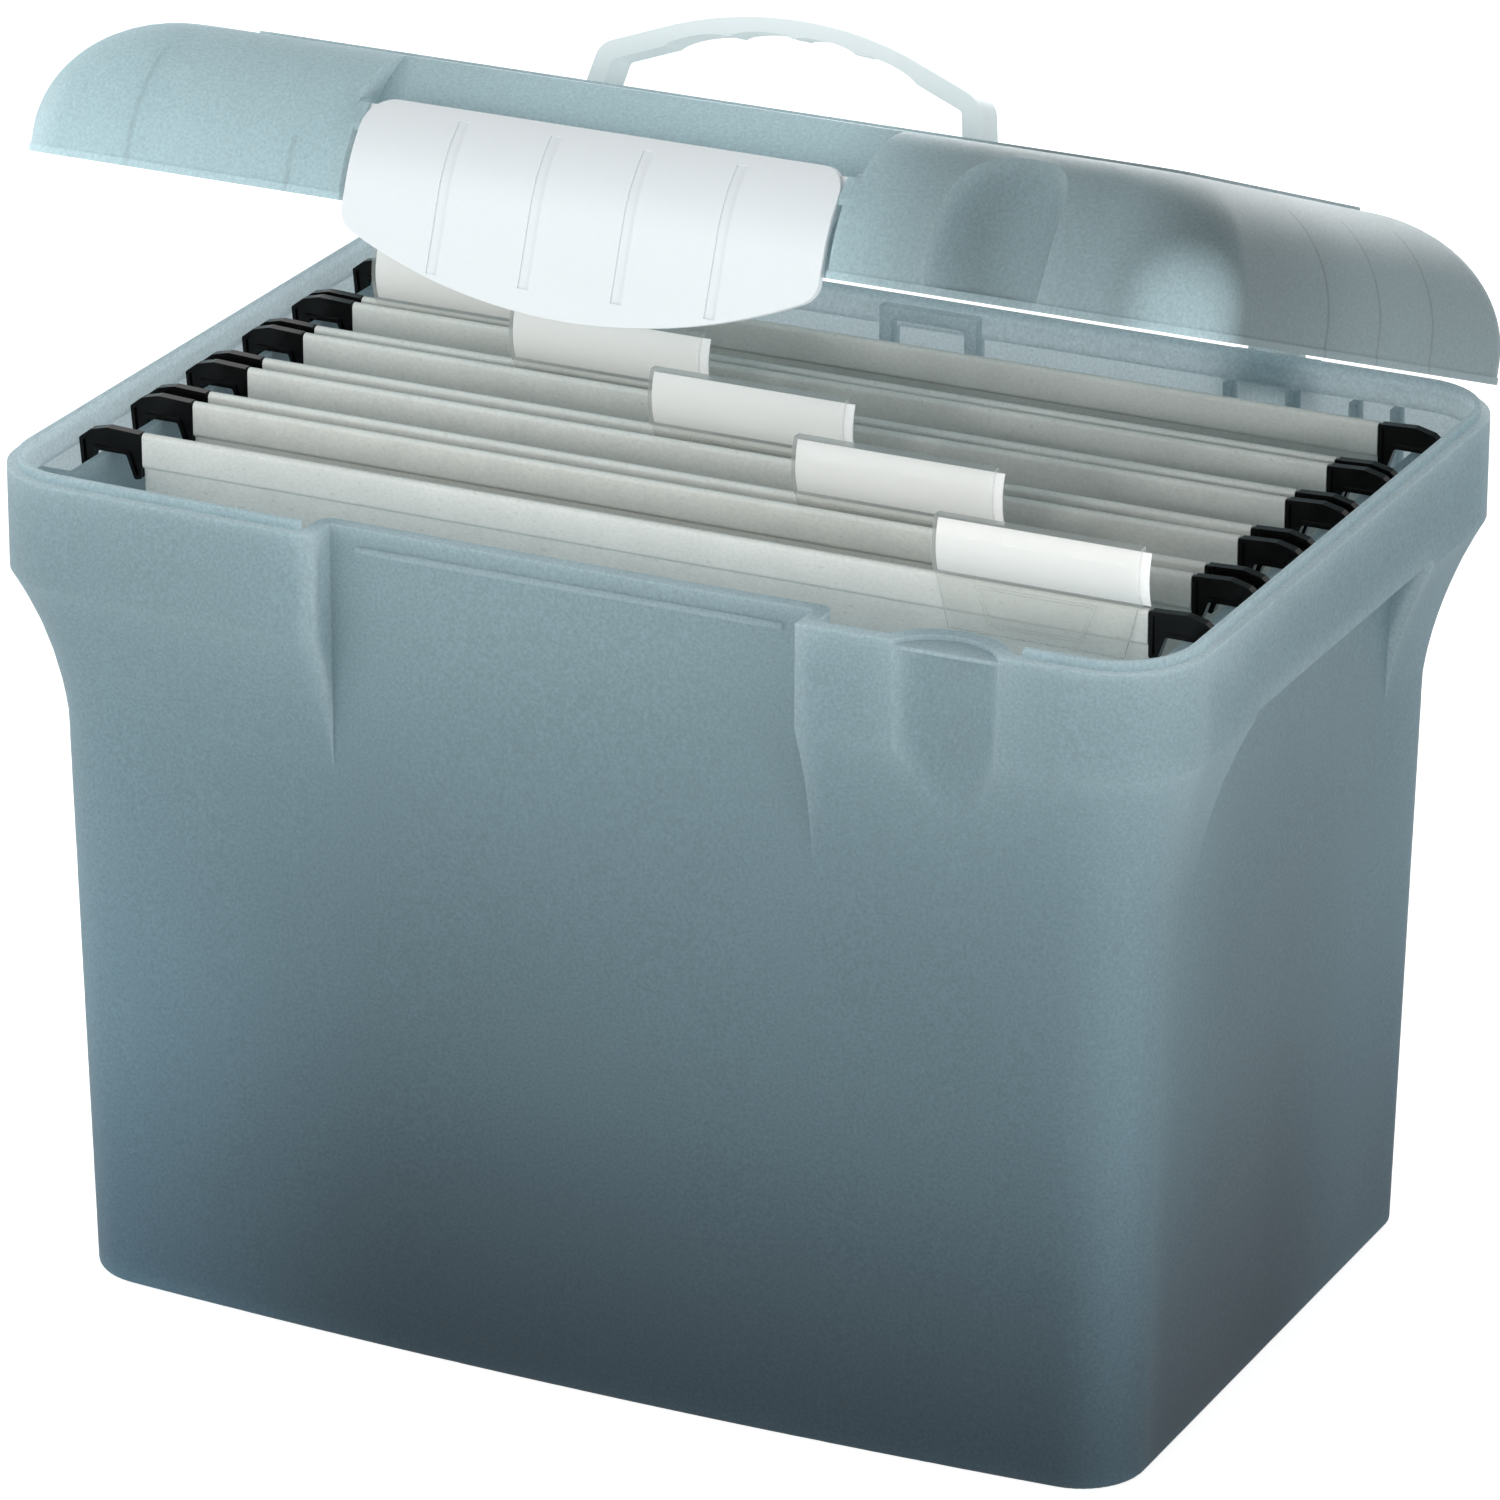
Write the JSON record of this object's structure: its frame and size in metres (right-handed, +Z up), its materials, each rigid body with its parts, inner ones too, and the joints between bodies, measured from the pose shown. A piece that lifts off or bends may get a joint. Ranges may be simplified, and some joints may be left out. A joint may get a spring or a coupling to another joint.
{
  "type": "portable file box",
  "caption": "Tapered carrying box for hanging suspension folders, with a hinged domed lid, a front flap latch and a fold-down carry handle.",
  "frame": {"origin": "on the underside of the case, under the middle of the rim", "axes": "+X to the box's right seen from the front, +Y towards the hinged back, +Z up; the lid rests 21 degrees open"},
  "size_m": [0.3708, 0.2649, 0.3754],
  "materials": {
    "case_plastic": "smoky translucent, fine matt texture",
    "lid_plastic": "smoky translucent, fine matt texture",
    "latch_plastic": "satin white",
    "handle_plastic": "satin natural white, slightly translucent",
    "card": "uncoated grey-green",
    "hook_plastic": "gloss black",
    "tab_plastic": "clear",
    "insert_paper": "plain"
  },
  "bodies": {
    "case": {"case": "case_plastic"},
    "lid": {"lid": "lid_plastic"},
    "latch": {"front_latch": "latch_plastic"},
    "handle": {"carry_handle": "handle_plastic"},
    "folder_1": {"folder_1_card": "card", "folder_1_front_bar": "hook_plastic", "folder_1_back_bar": "hook_plastic", "folder_1_tab": "tab_plastic", "folder_1_label": "insert_paper"},
    "folder_2": {"folder_2_card": "card", "folder_2_front_bar": "hook_plastic", "folder_2_back_bar": "hook_plastic", "folder_2_tab": "tab_plastic", "folder_2_label": "insert_paper"},
    "folder_3": {"folder_3_card": "card", "folder_3_front_bar": "hook_plastic", "folder_3_back_bar": "hook_plastic", "folder_3_tab": "tab_plastic", "folder_3_label": "insert_paper"},
    "folder_4": {"folder_4_card": "card", "folder_4_front_bar": "hook_plastic", "folder_4_back_bar": "hook_plastic", "folder_4_tab": "tab_plastic", "folder_4_label": "insert_paper"},
    "folder_5": {"folder_5_card": "card", "folder_5_front_bar": "hook_plastic", "folder_5_back_bar": "hook_plastic", "folder_5_tab": "tab_plastic", "folder_5_label": "insert_paper"}
  },
  "joints": [
    {"name": "lid_hinge", "type": "hinge", "parent": "case", "child": "lid", "pos_m": [0, 0.131, 0.2475], "axis": [-1, 0, 0], "range_deg": [-21, 88]},
    {"name": "latch_hinge", "type": "hinge", "parent": "lid", "child": "latch", "pos_m": [0, -0.08978, 0.36492], "axis": [-1, 0, 0], "range_deg": [-3, 60]},
    {"name": "handle_hinge", "type": "hinge", "parent": "lid", "child": "handle", "pos_m": [0, 0.02048, 0.3363], "axis": [-1, 0, 0], "range_deg": [0, 90]},
    {"name": "folder_1_slide", "type": "slide", "parent": "case", "child": "folder_1", "axis": [0, 1, 0], "range_m": [-0.017, 0.0022]},
    {"name": "folder_2_slide", "type": "slide", "parent": "case", "child": "folder_2", "axis": [0, 1, 0], "range_m": [-0.0022, 0.0022]},
    {"name": "folder_3_slide", "type": "slide", "parent": "case", "child": "folder_3", "axis": [0, 1, 0], "range_m": [-0.0022, 0.0012]},
    {"name": "folder_4_slide", "type": "slide", "parent": "case", "child": "folder_4", "axis": [0, 1, 0], "range_m": [-0.0012, 0.0006]},
    {"name": "folder_5_slide", "type": "slide", "parent": "case", "child": "folder_5", "axis": [0, 1, 0], "range_m": [-0.0006, 0.005]}
  ]
}
